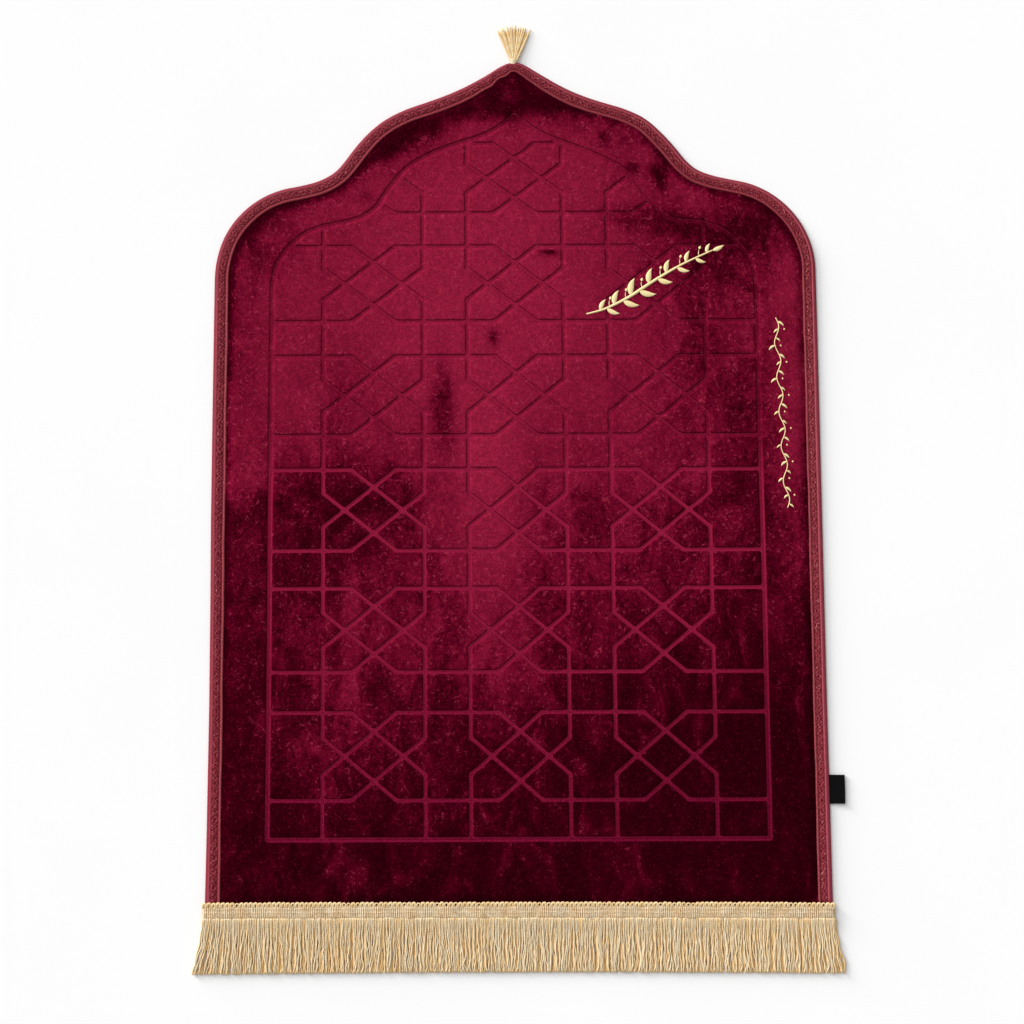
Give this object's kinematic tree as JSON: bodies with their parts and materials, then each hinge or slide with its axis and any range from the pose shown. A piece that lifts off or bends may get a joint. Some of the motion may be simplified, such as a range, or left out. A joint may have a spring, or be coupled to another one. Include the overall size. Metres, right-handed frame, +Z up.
{
  "type": "prayer rug",
  "caption": "Padded velvet prayer rug with a pointed, lobed arch top, bound edge, fringe along the foot and a small tassel at the tip, lying flat.",
  "frame": {"origin": "floor level, on the rug's centre line, halfway between the fringe's ends and the tassel's ends", "axes": "+Z up out of the velvet face, +Y along the rug towards the tip of the arch, +X towards the side with the label"},
  "size_m": [0.833, 1.2573, 0.008],
  "materials": {
    "velvet": "short wine-red pile with a pressed lattice",
    "binding_tape": "woven rose-red tape with a smooth rolled edge",
    "fringe_yarn": "lustrous cream-gold yarn",
    "label_ribbon": "plain black woven ribbon",
    "gold_thread": "satin stitch in pale gold thread",
    "backing_cloth": "plain matt woven cloth"
  },
  "bodies": {
    "root": {"velvet_panel": "velvet", "edge_binding": "binding_tape", "fringe": "fringe_yarn", "tassel": "fringe_yarn", "tassel_wrap": "fringe_yarn", "side_label": "label_ribbon"}
  },
  "joints": []
}
